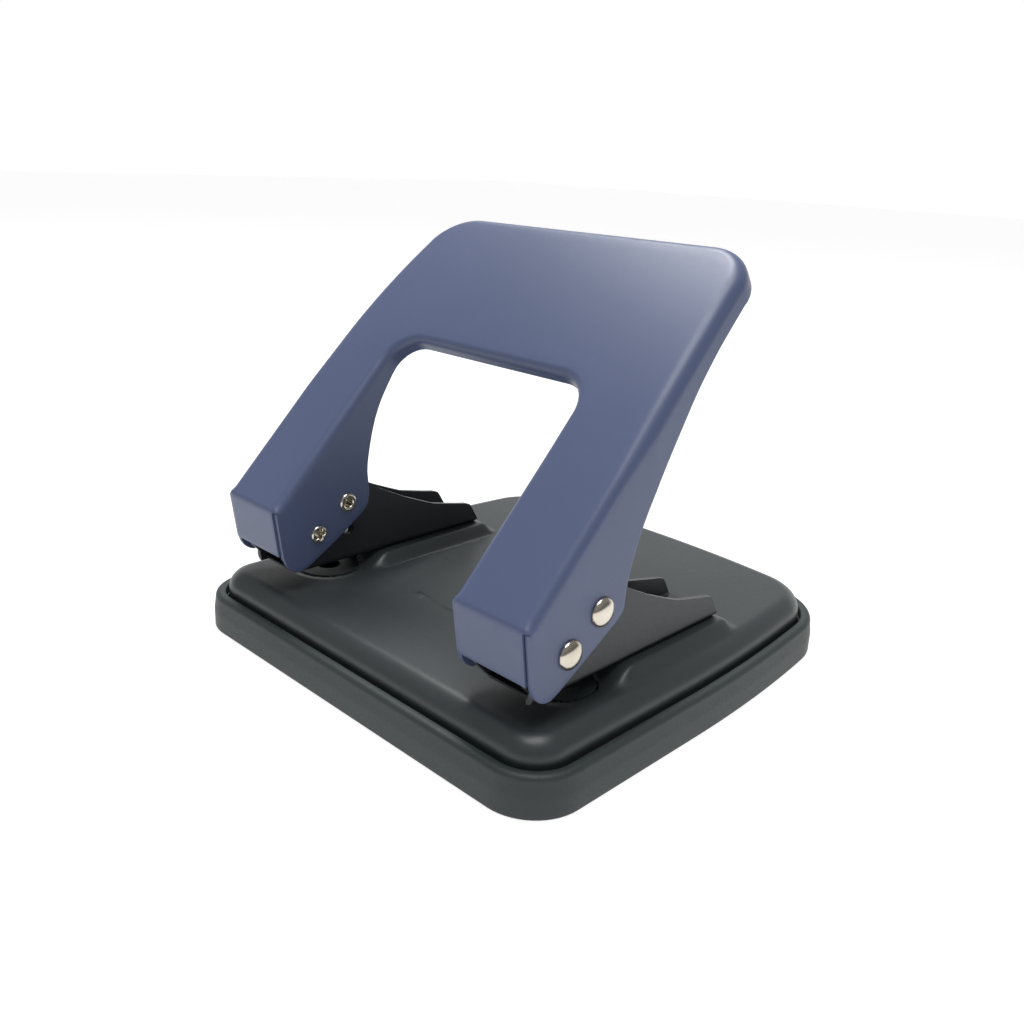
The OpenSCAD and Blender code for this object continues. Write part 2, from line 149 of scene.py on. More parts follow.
def smooth_curve(keys, at):
    """Piecewise cubic through keys (parameter, values...) read at the given parameters: each slope is the
    harmonic mean of its neighbours' slopes, so the curve never overshoots a key."""
    keys = np.asarray(keys, float)
    x, y = keys[:, 0], keys[:, 1:]
    h = np.diff(x)[:, None]
    slope = np.diff(y, axis=0) / h
    product = slope[:-1] * slope[1:]
    inner = np.where(product > 0, 2 * product / (slope[:-1] + slope[1:] + 1e-30), 0.0)
    m = np.vstack([slope[:1], inner, slope[-1:]])
    at = np.clip(np.asarray(at, float), x[0], x[-1])
    i = np.clip(np.searchsorted(x, at, side="right") - 1, 0, len(x) - 2)
    t = ((at - x[i]) / h[i, 0])[:, None]
    hi = h[i]
    return ((1 + 2 * t) * (1 - t) ** 2 * y[i] + t * (1 - t) ** 2 * hi * m[i]
            + t * t * (3 - 2 * t) * y[i + 1] + t * t * (t - 1) * hi * m[i + 1])


def smoothstep(a, b, x):
    """0 below a, 1 above b, and a cubic ease between."""
    t = np.clip((x - a) / (b - a), 0.0, 1.0)
    return t * t * (3 - 2 * t)


# ------------------------------------------------------------------- materials
def linear(code):
    """An sRGB hex colour as linear RGBA."""
    rgb = np.array([int(code[i:i + 2], 16) for i in (1, 3, 5)]) / 255.0
    rgb = np.where(rgb <= 0.04045, rgb / 12.92, ((rgb + 0.055) / 1.055) ** 2.4)
    return (*rgb.tolist(), 1.0)


def add_node(tree, kind, settings=None, links=None):
    """Adds a shader node. A setting is the value of an input, by name or number, or a property of the node,
    and a link feeds an input from another node's output socket."""
    made = tree.nodes.new(kind)
    for key, value in (settings or {}).items():
        if isinstance(key, int) or key in made.inputs.keys():
            made.inputs[key].default_value = value
        else:
            setattr(made, key, value)
    for key, source in (links or {}).items():
        tree.links.new(source, made.inputs[key])
    return made


def finish(name, base, dark, light, mottle, grain, depth, rough, metal=0.0, ior=1.5, coat=0.0, coat_rough=0.2,
           streak=None, strength=0.5, glow=0.0):
    """A finish with slow colour mottle, a fine grain in height and a spread of roughness. base, dark and
    light are hex colours, mottle and grain are sizes in millimetres, depth is the grain's height in
    millimetres, rough is the lowest and highest roughness, streak stretches the grain along X, Y and Z, and
    glow is the light that a light table sends out."""
    mat = bpy.data.materials.new(name)
    mat.use_nodes = True
    tree = mat.node_tree
    tree.nodes.clear()
    place = add_node(tree, "ShaderNodeTexCoord").outputs["Object"]
    slow = add_node(tree, "ShaderNodeTexNoise",
                    {"Scale": 1 / (mottle * MM), "Detail": 4.0, "Roughness": 0.55}, {"Vector": place})
    ramp = add_node(tree, "ShaderNodeValToRGB", links={"Fac": slow.outputs["Fac"]})
    stops = ramp.color_ramp.elements
    stops[0].position, stops[0].color = 0.32, linear(dark)
    stops[1].position, stops[1].color = 0.68, linear(light)
    middle = stops.new(0.5)
    middle.color = linear(base)
    grained = place
    if streak:
        grained = add_node(tree, "ShaderNodeMapping", {"Scale": streak}, {"Vector": place}).outputs["Vector"]
    fine = add_node(tree, "ShaderNodeTexNoise",
                    {"Scale": 1 / (grain * MM), "Detail": 2.0, "Roughness": 0.5}, {"Vector": grained})
    spread = add_node(tree, "ShaderNodeMapRange",
                      {"From Min": 0.3, "From Max": 0.7, "To Min": rough[0], "To Max": rough[1]},
                      {"Value": fine.outputs["Fac"]})
    bump = add_node(tree, "ShaderNodeBump", {"Strength": strength, "Distance": depth * MM},
                    {"Height": fine.outputs["Fac"]})
    settings = {"Metallic": metal, "Coat Weight": coat, "Coat Roughness": coat_rough,
                "Emission Strength": glow}
    if metal < 0.5:
        settings["IOR"] = ior
    shader = add_node(tree, "ShaderNodeBsdfPrincipled", settings,
                      {"Base Color": ramp.outputs["Color"], "Roughness": spread.outputs["Result"],
                       "Normal": bump.outputs["Normal"]})
    add_node(tree, "ShaderNodeOutputMaterial", links={"Surface": shader.outputs["BSDF"]})
    return mat


def stocked(name):
    """The named material, made the first time that it is asked for."""
    if name in bpy.data.materials:
        return bpy.data.materials[name]
    return MATERIALS[name](name)


MATERIALS = {
    # polyester powder coat on pressed steel: satin, with a faint orange peel that softens the edges'
    # highlights
    "slate_powder_coat": lambda n: finish(n, "#4F5A7A", "#4D5877", "#515C7D", 60, 1.1, 0.012, (0.40, 0.46),
                                          coat=0.12, coat_rough=0.35),
    # stove enamel on pressed steel: smoother than the powder coat, so its rounded shoulder draws a soft
    # bright line
    "graphite_stove_enamel": lambda n: finish(n, "#32383A", "#303638", "#343A3C", 45, 1.4, 0.010, (0.36, 0.42),
                                              coat=0.08, coat_rough=0.3),
    # moulded ABS with a fine spark-eroded texture: a dull, slightly green grey
    "textured_abs": lambda n: finish(n, "#2C3434", "#2A3232", "#2E3636", 40, 0.45, 0.02, (0.48, 0.60)),
    # black electrophoretic paint on pressed steel: thin and semi-gloss
    "black_electrocoat": lambda n: finish(n, "#25292D", "#23272B", "#272B2F", 30, 0.8, 0.008, (0.36, 0.44)),
    # nickel plate on drawn steel: bright, with fine drawing marks
    "nickel_plate": lambda n: finish(n, "#CFC8BA", "#C4BBAA", "#D8D2C6", 6, 0.35, 0.003, (0.14, 0.24),
                                     metal=1.0),
    # centreless-ground steel: round marks across the axis
    "ground_steel": lambda n: finish(n, "#A9A9AA", "#9F9FA1", "#B2B2B3", 8, 0.25, 0.003, (0.24, 0.34),
                                     metal=1.0,
                                     streak=(0.2, 0.2, 1.0)),
    # cold-drawn spring wire
    "drawn_wire": lambda n: finish(n, "#A3A3A2", "#979796", "#AFAFAE", 3, 0.2, 0.002, (0.25, 0.35),
                                   metal=1.0),
    # phosphated spring steel: a soft dark grey
    "phosphated_steel": lambda n: finish(n, "#37383A", "#323335", "#3D3E40", 4, 0.3, 0.004, (0.5, 0.62),
                                         metal=0.6),
    # opal acrylic light table under the part
    "opal_light_table": lambda n: finish(n, "#989898", "#969696", "#9A9A9A", 400, 2.0, 0.01, (0.75, 0.85),
                                         glow=0.84),
}


# ----------------------------------------------------------------- settings
class PunchLeverSettings(PropertyGroup):
    """Sizes of the folded lever"""
    half_width: FloatProperty(name="Half width", description="Lever's half width across the arms, mm",
                              default=50.3)
    arm: FloatProperty(name="Arm", description="Width of each arm, mm", default=20.3)
    fold: FloatProperty(name="Fold radius", description="Outer radius of the folded edges, mm", default=2.2)
    sheet: FloatProperty(name="Sheet", description="Thickness of the sheet steel, mm", default=1.1)
    tilt: FloatProperty(name="Tilt", description="Slope of the arms' top face", default=math.radians(46),
                        unit="ROTATION")
    straight: FloatProperty(name="Straight", description="Length before the top face curves down, mm",
                            default=45.0)
    bend: FloatProperty(name="Bend radius", description="Radius of the top face's curve, mm", default=270.0)
    length: FloatProperty(name="Length", description="Length along the top face, mm", default=93.9)
    window: FloatProperty(name="Opening", description="Distance to the finger opening's rear edge, mm",
                          default=52.2)
    roll: FloatProperty(name="Roll radius", description="Fold radius round the crossbar's outer edge, mm",
                        default=3.2)
    lip: FloatProperty(name="Lip radius", description="Fold radius round the finger opening, mm", default=1.9)
    slit: FloatProperty(name="Slit", description="Distance from the arm's side to the nose flap, mm",
                        default=1.3)


class PunchBaseSettings(PropertyGroup):
    """Sizes of the base plate"""
    deck: FloatProperty(name="Deck", description="Height of the base plate's flat top, mm", default=14.3)
    shoulder: FloatProperty(name="Shoulder", description="Radius of the base plate's rounded edge, mm",
                            default=4.6)
    sheet: FloatProperty(name="Sheet", description="Thickness of the base plate, mm", default=1.2)
    pad: FloatProperty(name="Pad", description="Height of the raised pads, mm", default=3.0)
    skirt_in: FloatProperty(name="Skirt", description="Inset of the base plate from the tray's outside, mm",
                            default=3.75)


class PunchHardwareSettings(PropertyGroup):
    """Sizes of the rivets and springs"""
    rivet: FloatProperty(name="Rivet", description="Diameter of the hollow rivets' shanks, mm", default=3.6)
    head: FloatProperty(name="Head", description="Diameter of the rivets' domed heads, mm", default=6.2)
    wire: FloatProperty(name="Wire", description="Diameter of the spring wire, mm", default=0.6)
    turns: IntProperty(name="Turns", description="Turns in each return spring", default=5)


class PunchStageSettings(PropertyGroup):
    """Lights, surroundings and camera"""
    zenith: FloatProperty(name="Ceiling", description="Strength of the surroundings overhead", default=0.28)
    room: FloatProperty(name="Room", description="Strength of the surroundings on the near side",
                        default=0.16)
    key: FloatProperty(name="Key light", description="Power of the main soft light",
                       default=4.8, unit="POWER")
    overhead: FloatProperty(name="Overhead light", description="Power of the overhead light", default=4.5,
                            unit="POWER")
    lens: FloatProperty(name="Lens", description="Camera's focal length, mm", default=35.41)
    eye: FloatVectorProperty(name="Eye", description="Camera's place",
                             default=(0.158518, -0.172725, 0.115496),
                             subtype="TRANSLATION")
    azimuth: FloatProperty(name="Azimuth", description="Camera's bearing", default=math.radians(43.835),
                           unit="ROTATION")
    elevation: FloatProperty(name="Elevation", description="Camera's height angle",
                             default=math.radians(19.63),
                             unit="ROTATION")
    roll: FloatProperty(name="Roll", description="Camera's roll",
                        default=math.radians(2.717), unit="ROTATION")


# ------------------------------------------------------------------ the lever
# side view, mm: the corner where the flap's and the arm's faces meet (y, z), and the radius of its bend
NOSE = np.array([-54.5, 35.6])
NOSE_R = 2.2
FLAP_LEAN = math.radians(8)
# lengths along the top face where the nose flap and the grid end
FLAP_END = -11.9
FRONT_END = -12.7
# plan of the lever, mm: corner radii of the finger opening and of the crossbar, and the arms' taper to the
# rear
WINDOW_R = 8.0
CROSSBAR_R = 12.0
CROSSBAR_LEAN = math.radians(5.0)
TAPER, TAPER_FROM, TAPER_RUN = 2.6, 42.0, 38.0
# how far the flange's front edge lies behind the flap's face
FRONT_SETBACK = 0.5
# rivet holes in the inner flange: their radius, the reach within which a vertex is moved onto the rim, and
# the radius inside which a face is left out
RIM_R, RIM_REACH, HOLE_R = 1.75, 1.9, 1.66


def side_curve(cfg):
    """The lever's top face seen from the side: arc lengths s, their y, z and direction angle, and the s where
    the nose's bend starts and ends. It goes up the nose flap, round the nose, along the straight slope, then
    round a wide arc. Found by summing the direction angle, which is constant, turns at 1/nose radius, is
    constant, and turns at 1/bend radius."""
    s = np.linspace(-16.0, 110.0, 5041)
    turn = math.pi / 2 + FLAP_LEAN - cfg.tilt
    tangent = NOSE_R * math.tan(turn / 2)
    arc_end = tangent - 0.3
    arc_start = arc_end - NOSE_R * turn
    angle = (cfg.tilt + turn * (1 - np.clip((s - arc_start) / (arc_end - arc_start), 0, 1))
             - np.clip(s - cfg.straight, 0, None) / cfg.bend)
    step = np.diff(s)
    mid = (angle[1:] + angle[:-1]) / 2
    y = np.concatenate([[0.0], np.cumsum(np.cos(mid) * step)])
    z = np.concatenate([[0.0], np.cumsum(np.sin(mid) * step)])
    at = np.searchsorted(s, 20.0)
    y += NOSE[0] + s[at] * math.cos(cfg.tilt) - y[at]
    z += NOSE[1] + s[at] * math.sin(cfg.tilt) - z[at]
    return s, y, z, angle, arc_start, arc_end


def on_lever(curve, x, s, n):
    """Points at distance n above the top face, at length s and width x."""
    angle = np.interp(s, curve[0], curve[3])
    return np.stack(np.broadcast_arrays(x, np.interp(s, curve[0], curve[1]) - n * np.sin(angle),
                                        np.interp(s, curve[0], curve[2]) + n * np.cos(angle)), -1)


# lower edges of the outer and inner flange: (length on the top face, y, z) up to the arm's heel
OUTER_TOE = [(-12.7, -52.25, 23.0), (-9, -51.85, 21.9), (-5.5, -51.25, 20.95), (-2, -50.55, 20.25),
             (1.5, -49.6, 19.7), (4, -48.7, 19.4), (7, -47.5, 19.35), (10, -45.9, 19.9), (14, -43.1, 21.5),
             (19, -37.4, 24.95), (24, -30.6, 29.2), (26.2, -28.3, 30.7), (27.6, -27.3, 31.7),
             (29, -26.95, 33.0), (31.5, -26.8, 35.6)]
INNER_TOE = OUTER_TOE[:10] + [(23.5, -31.6, 28.9), (25.6, -29.5, 30.4), (27, -28.5, 31.4), (28.2, -27.9, 32.6)]
# behind the heel: how far forward along the top face the edge's foot is, by length
OUTER_SHIFT = [(34, -12.6), (36.5, -11.2), (39.2, -8.6), (45.4, -5.4), (52, -2.8), (60, -1.0), (68, 0.0),
               (120, 0.0)]
INNER_SHIFT = [(30, -11.6), (33, -10.6), (36, -8), (39, -4.6), (42, -2), (46, 0), (120, 0)]
# and the flange's depth below the top face, by the foot's length
OUTER_DEPTH = [(21.4, 18.3), (25.2, 16.2), (30.6, 13.7), (42, 10.4), (52, 8.4), (61.6, 6.8), (72, 6.1),
               (120, 6.0)]
INNER_DEPTH = [(18.2, 20.0), (21.9, 15.6), (23.4, 14.5), (29.3, 10.3), (36.2, 7.0), (42, 5.5), (48, 4.4),
               (54, 3.7), (120, 3.6)]


def flange_edge(curve, x, s, toe, shift, depth):
    """The flange's lower edge below each (x, s) of the fold: from a key table at the toe, then at a key
    depth square to the top face, shifted forward along it."""
    def below(q):
        foot = q + np.interp(q, *np.transpose(shift))
        return on_lever(curve, 0.0, foot, -smooth_curve(depth, foot)[:, 0])
    first = shift[0][0]
    more = np.linspace(first, first + 14, 6)
    tail = below(more)[:, 1:]
    keys = np.vstack([np.array(toe), np.column_stack([more, tail])])
    near = smooth_curve(keys, s)
    far = below(s)[:, 1:]
    yz = np.where((s < first + 10)[:, None], near, far)
    return np.column_stack([x, yz])


def lever_paths(cfg, arc_start, arc_end):
    """The outer and inner edge of the right half of the sheet, as matching (x, s) rows from the flap's end
    up the arm, round the two corners and along the crossbar to the middle, and the direction each edge
    faces."""
    inner_x = cfg.half_width - cfg.arm
    corner = cfg.window - WINDOW_R
    s_arm = np.concatenate([np.linspace(FRONT_END, FLAP_END, 2), np.linspace(FLAP_END, arc_start, 9)[1:],
                            np.linspace(arc_start, arc_end, 10)[1:], np.linspace(arc_end, corner, 46)[1:]])

    def taper(s):
        return cfg.half_width - TAPER * (np.clip(s - TAPER_FROM, 0, None) / TAPER_RUN) ** 1.5

    top = cfg.length - CROSSBAR_R
    cx = taper(top) - CROSSBAR_R * math.cos(CROSSBAR_LEAN)
    side_s = np.linspace(corner, top + CROSSBAR_R * math.sin(CROSSBAR_LEAN), 60)
    turn = np.linspace(CROSSBAR_LEAN, math.pi / 2, 40)[1:]
    outer = np.vstack([np.column_stack([taper(side_s), side_s]),
                       np.column_stack([cx + CROSSBAR_R * np.cos(turn), top + CROSSBAR_R * np.sin(turn)]),
                       np.column_stack([np.linspace(cx, inner_x - WINDOW_R, 12)[1:], np.full(11, cfg.length)])])
    run = np.concatenate([[0], np.cumsum(np.linalg.norm(np.diff(outer, axis=0), axis=1))])
    u = np.linspace(0, 1, 56)
    pick = u * run[-1]
    fan = np.column_stack([np.interp(pick, run, outer[:, 0]), np.interp(pick, run, outer[:, 1])])
    sweep = u * math.pi / 2
    wind = np.column_stack([inner_x - WINDOW_R + WINDOW_R * np.cos(sweep), corner + WINDOW_R * np.sin(sweep)])
    bar = np.linspace(inner_x - WINDOW_R, 0.0, 20)[1:]
    out = np.vstack([np.column_stack([np.full_like(s_arm, cfg.half_width), s_arm]), fan[1:],
                     np.column_stack([bar, np.full_like(bar, cfg.length)])])
    inn = np.vstack([np.column_stack([np.full_like(s_arm, inner_x), s_arm]), wind[1:],
                     np.column_stack([bar, np.full_like(bar, cfg.window)])])

    def facing(path, sign):
        t = np.gradient(path, axis=0)
        t /= np.linalg.norm(t, axis=1)[:, None]
        n = sign * np.column_stack([t[:, 1], -t[:, 0]])
        n[path[:, 1] < corner - 0.5] = (sign, 0.0)
        return n
    return out, inn, facing(out, 1.0), facing(inn, -1.0)


def fold_radii(cfg, s, arc_start, arc_end, far):
    """Radius of the fold at each length s: the slit's width at the top of the nose flap, the full radius
    along the arm, and `far` round the crossbar's edge."""
    near = cfg.slit + (cfg.fold - cfg.slit) * smoothstep(arc_start, arc_end + 1.2, s)
    return near + (far - cfg.fold) * smoothstep(cfg.straight - 14.0, cfg.straight + 2.0, s)


def lever_points(cfg):
    """Right half of the sheet, as its section carried along the U of the lever: flange, quarter-round fold,
    top face, fold and flange, each row running from the outer flange's lower edge to the inner one's.
    Beside the nose flap the quarter round gives way to the flap's own edge and to the flange's front edge,
    set a little behind it."""
    curve = side_curve(cfg)
    out, inn, face_o, face_i = lever_paths(cfg, curve[4], curve[5])
    alpha = np.radians([90, 80, 70, 60, 50, 40, 30, 20, 10, 0])
    slit_top = curve[4] + 0.4 * (curve[5] - curve[4])
    flap = (out[:, 1] < slit_top)[:, None]

    def fold(path, face, far):
        r = fold_radii(cfg, path[:, 1], slit_top, curve[5], far)[:, None]
        back = r * (1 - np.sin(alpha))
        drop = -r * (1 - np.cos(alpha))
        back = np.where(flap, r * (alpha < 0.8), back)
        drop = np.where(flap, -FRONT_SETBACK * (alpha > 0.8), drop)
        xs = path[:, None, :] - back[..., None] * face[:, None, :]
        return on_lever(curve, xs[..., 0], xs[..., 1], drop), r

    (fold_o, r_o), (fold_i, r_i) = fold(out, face_o, cfg.roll), fold(inn, face_i, cfg.lip)
    edge_o = flange_edge(curve, out[:, 0], out[:, 1], OUTER_TOE, OUTER_SHIFT, OUTER_DEPTH)
    edge_i = flange_edge(curve, inn[:, 0], inn[:, 1], INNER_TOE, INNER_SHIFT, INNER_DEPTH)
    v = np.linspace(0, 1, 13)[:-1]
    web_o = edge_o[:, None] * (1 - v)[None, :, None] + fold_o[:, :1] * v[None, :, None]
    web_i = edge_i[:, None] * (1 - v)[None, :, None] + fold_i[:, :1] * v[None, :, None]
    a = out - r_o * face_o
    b = inn - r_i * face_i
    w = np.linspace(0, 1, 18)[1:-1]
    flat = a[:, None] * (1 - w)[None, :, None] + b[:, None] * w[None, :, None]
    top = on_lever(curve, flat[..., 0], flat[..., 1], np.zeros_like(flat[..., 0]))
    rows = np.concatenate([web_o, fold_o, top, fold_i[:, ::-1], web_i[:, ::-1]], axis=1)
    return rows, int(flap.sum()), len(v), len(alpha)


def build_lever(cfg):
    """Right half and its mirror joined along the middle, less the slits beside each nose flap and the sheet
    below the flap's end, then given the sheet's thickness and a soft edge."""
    half, flap_rows, web, arcs = lever_points(cfg)
    rows = np.concatenate([half, (half[:-1] * np.array([-1.0, 1.0, 1.0]))[::-1]])
    n, m = rows.shape[:2]
    faces = grid_faces(n, m)[:, ::-1]
    first = faces.min(axis=1)
    r = np.minimum(first // m, n - 2 - first // m)
    c = np.minimum(first % m, m - 2 - first % m)
    slit = (c >= web) & (c < web + arcs - 1) & (r < flap_rows)
    gone = slit | (r < 1)
    flat = rows.reshape(-1, 3)
    for rivet in ("right_pivot_rivet", "right_drive_rivet"):
        low, high = node_box(rivet)
        hub = (low[1:] + high[1:]) / 2
        arm = flat[:, 1:] - hub
        reach = np.linalg.norm(arm, axis=1)
        on_flange = np.abs(np.abs(flat[:, 0]) - (cfg.half_width - cfg.arm)) < 0.05
        near = on_flange & (reach < RIM_REACH) & (reach > 0.05)
        flat[near, 1:] = hub + arm[near] / reach[near][:, None] * RIM_R
        mid = flat[faces].mean(axis=1)
        hole = np.linalg.norm(mid[:, 1:] - hub, axis=1) < HOLE_R
        gone |= hole & (np.abs(np.abs(mid[:, 0]) - (cfg.half_width - cfg.arm)) < 0.05)
    piece = surface("lever_sheet", rows, faces[~gone], stocked("slate_powder_coat"), "lever",
                    ["lever_handle"], smooth=50)
    weld(piece)
    wall = piece.modifiers.new("sheet", "SOLIDIFY")
    wall.thickness = cfg.sheet * MM
    wall.offset = -1.0
    wall.use_even_offset = False
    edge = piece.modifiers.new("deburred_edge", "BEVEL")
    edge.width = 0.18 * MM
    edge.segments = 2
    edge.limit_method = "ANGLE"
    edge.angle_limit = math.radians(55)
    edge.use_clamp_overlap = True


# ------------------------------------------------------- base plate and tray
# plan of the tray, mm: corner radii, radii of the bowed sides and rear, the place where the sides start to
# bow, and how far the moulding stays inside its box
FRONT_R, REAR_R, SIDE_BOW, SIDE_BOW_Y, REAR_BOW = 12.2, 20.0, 400.0, -10.0, 300.0
EDGE_TRIM = 0.25
ARC_POINTS = (14, 26, 22, 26)


def plan_outline(inset):
    """The tray's outline moved in by inset: a front corner arc, a nearly flat side arc, a rear corner arc
    that touches both bows, and the rear bow, for the right half and its mirror. Arcs share tangents, so
    each radius shrinks by the inset. Returns points of shape inset.shape + (count, 2)."""
    w, d = (np.round(HIGH[:2], 3) - EDGE_TRIM).tolist()
    inset = np.asarray(inset, float)[..., None]
    side, rear = np.array([w - SIDE_BOW, SIDE_BOW_Y]), np.array([0.0, d - REAR_BOW])
    ra, rb = SIDE_BOW - REAR_R, REAR_BOW - REAR_R
    gap = rear - side
    dist = np.linalg.norm(gap)
    along = (ra * ra - rb * rb + dist * dist) / (2 * dist)
    across = math.sqrt(ra * ra - along * along)
    corner = side + gap / dist * along + np.array([-gap[1], gap[0]]) / dist * across
    a1 = math.atan2(corner[1] - side[1], corner[0] - side[0])
    a2 = math.atan2(corner[1] - rear[1], corner[0] - rear[0])

    def arc(centre, radius, start, end, count):
        t = np.linspace(start, end, count, endpoint=False)
        reach = radius - inset
        return np.stack([centre[0] + reach * np.cos(t), centre[1] + reach * np.sin(t)], -1)
    front_c = (w - FRONT_R, -d + FRONT_R)
    straight_y = np.linspace(-d + FRONT_R, SIDE_BOW_Y, 18, endpoint=False)
    straight = np.stack(np.broadcast_arrays(w - inset, straight_y), -1)
    nose_x = np.linspace(0.0, w - FRONT_R, 24, endpoint=False)
    nose = np.stack(np.broadcast_arrays(nose_x, -d + inset), -1)
    right = np.concatenate([nose, arc(front_c, FRONT_R, -math.pi / 2, 0, ARC_POINTS[0]), straight,
                            arc(side, SIDE_BOW, 0, a1, ARC_POINTS[1]),
                            arc(corner, REAR_R, a1, a2, ARC_POINTS[2]),
                            arc(rear, REAR_BOW, a2, math.pi / 2, ARC_POINTS[3]),
                            np.stack(np.broadcast_arrays(0.0 * inset, d - inset), -1)], axis=-2)
    left = right[..., -2:0:-1, :] * np.array([-1.0, 1.0])
    return np.concatenate([right, left], axis=-2)


def round_over(inset, z, r, a0, a1, count):
    """Points (inset, height) on a quarter round that starts on the wall and ends on the top."""
    t = np.radians(np.linspace(a0, a1, count))
    return np.column_stack([inset + r - r * np.cos(t), z + r * np.sin(t)])


def ring_rows(profile):
    """The outline at each (inset, height) of the profile, as rows of a grid."""
    profile = np.asarray(profile, float)
    flat = plan_outline(profile[:, 0])
    z = np.broadcast_to(profile[:, 1][:, None, None], flat.shape[:2] + (1,))
    return np.concatenate([flat, z], -1)


def shrunk_rows(ring, z, scales):
    """Copies of one ring drawn in towards the middle, to close a flat face."""
    rows = ring[None, :, :2] * np.asarray(scales)[:, None, None]
    return np.concatenate([rows, np.full(rows.shape[:2] + (1,), z)], -1)


def build_tray():
    """Moulded tray: foot radius, drafted wall, rounded rim, groove, liner wall, shelf and floor, carried
    round the plan and closed at both ends by rings drawn in to the middle."""
    foot_r, foot_t = 0.6, np.radians(np.linspace(-90, 0, 6))
    wall = np.vstack([
        np.column_stack([foot_r - foot_r * np.cos(foot_t), foot_r + foot_r * np.sin(foot_t)]),
        [[0.0, 2.0], [0.0, 3.4], [0.0, 4.5], [0.03, 4.9], [0.1, 5.4], [0.22, 6.2], [0.34, 7.0], [0.42, 7.6]],
        round_over(0.45, 7.9, 1.3, 4, 90, 9),
        [[2.0, 9.2], [2.45, 9.18], [2.75, 9.1], [2.93, 8.95], [3.0, 8.7], [3.0, 7.6], [3.05, 7.05], [3.35, 7.0],
         [3.4, 6.9], [3.4, 3.1], [3.5, 3.0], [6.4, 3.0], [6.6, 2.8], [6.6, 1.7], [6.75, 1.6]]])
    rings = ring_rows(wall)
    scales = np.linspace(1.0, 0.0, 12)[1:]
    foot = shrunk_rows(rings[0], rings[0, 0, 2], scales)[::-1]
    floor = shrunk_rows(rings[-1], rings[-1, 0, 2], scales)
    rows = np.concatenate([foot, rings, floor])
    piece = surface("tray_shell", rows, grid_faces(*rows.shape[:2], wrap=True), stocked("textured_abs"),
                    "tray", ["chip_tray"], smooth=40)
    weld(piece)


# places of the punches and radius of the holes round the dies
DIE_X, PUNCH_Y, DIE_R = 40.0, -33.0, 7.85
# distance within which a vertex is moved onto a hole's rim
SNAP = 0.36
# raised pads: half width, rear end and front end
PAD_HALF, PAD_REAR, PAD_FRONT = 10.9, 15.2, -27.0
# y of the pressed centre mark and its dot, x of the dot, the mark's height, and the height of the dished
# ring round each die
MARK_Y, DOT_X, MARK_H, RING_H = -27.6, -10.0, 0.28, -0.35


def plate_height(x, y, cfg):
    """Height of the pressing above its deck: two raised pads with rounded edges and a long front ramp, a
    shallow ring round each die, and the centre mark with its dot."""
    ax = np.abs(x) - DIE_X
    side = PAD_HALF - np.abs(ax)
    rear = PAD_REAR - y
    front = y - PAD_FRONT
    edge = smoothstep(-1.0, 2.0, side) * smoothstep(-1.4, 2.2, rear)
    ramp = smoothstep(-1.0, 6.5, front)
    pad = cfg.pad * edge * ramp
    from_die = np.hypot(ax, y - PUNCH_Y)
    ring = RING_H * smoothstep(DIE_R + 2.2, DIE_R + 0.9, from_die)
    bar = smoothstep(10.4, 9.9, np.abs(x)) * smoothstep(0.75, 0.3, np.abs(y - MARK_Y))
    dot = smoothstep(1.1, 0.6, np.hypot(x - DOT_X, y - MARK_Y))
    return pad + ring + MARK_H * np.maximum(bar, dot)


def build_plate(cfg):
    """Pressed plate: skirt and shoulder carried round the plan, then the deck as rings drawn in to the
    middle with the pressed height added; the sheet over each die is cut out on a true circle, and the sheet
    gets thickness."""
    r = cfg.shoulder
    skirt = [[cfg.skirt_in, z] for z in (3.05, 4.5, 7.0, cfg.deck - r - 0.2)]
    rim = ring_rows(np.vstack([skirt, round_over(cfg.skirt_in, cfg.deck - r, r, 0, 90, 14)]))
    scales = np.linspace(1.0, 0.0, 118)[1:]
    deck = shrunk_rows(rim[-1], cfg.deck, scales)
    rows = np.concatenate([rim, deck])
    flat = rows.reshape(-1, 3)
    on_deck = np.arange(len(flat)) >= rim.shape[0] * rows.shape[1]
    for sx in (-1.0, 1.0):
        dx, dy = flat[:, 0] - sx * DIE_X, flat[:, 1] - PUNCH_Y
        d = np.hypot(dx, dy)
        snap = on_deck & (np.abs(d - DIE_R) < SNAP)
        k = np.where(snap, DIE_R / np.maximum(d, 1e-6), 1.0)
        flat[:, 0] = sx * DIE_X + dx * k
        flat[:, 1] = PUNCH_Y + dy * k
    fade = smoothstep(0.0, 3.0, (flat[:, 2] - (cfg.deck - 1.0)) * 3.0)
    flat[:, 2] += plate_height(flat[:, 0], flat[:, 1], cfg) * fade
    faces = grid_faces(*rows.shape[:2], wrap=True)
    mid = flat[faces].mean(axis=1)
    over_die = np.hypot(np.abs(mid[:, 0]) - DIE_X, mid[:, 1] - PUNCH_Y) < DIE_R
    piece = surface("plate_pressing", flat, faces[~over_die], stocked("graphite_stove_enamel"), "base",
                    ["base_plate"], smooth=60)
    weld(piece)
    wall = piece.modifiers.new("sheet", "SOLIDIFY")
    wall.thickness = cfg.sheet * MM
    wall.offset = -1.0


# ------------------------------------------------------------------- hardware
# distance from the middle to the outer flange's face, width of the arm that a rivet spans, and radius of
# the rivets' bores
ARM_FACE, ARM_SPAN, RIVET_BORE = 50.3, 20.3, 1.15


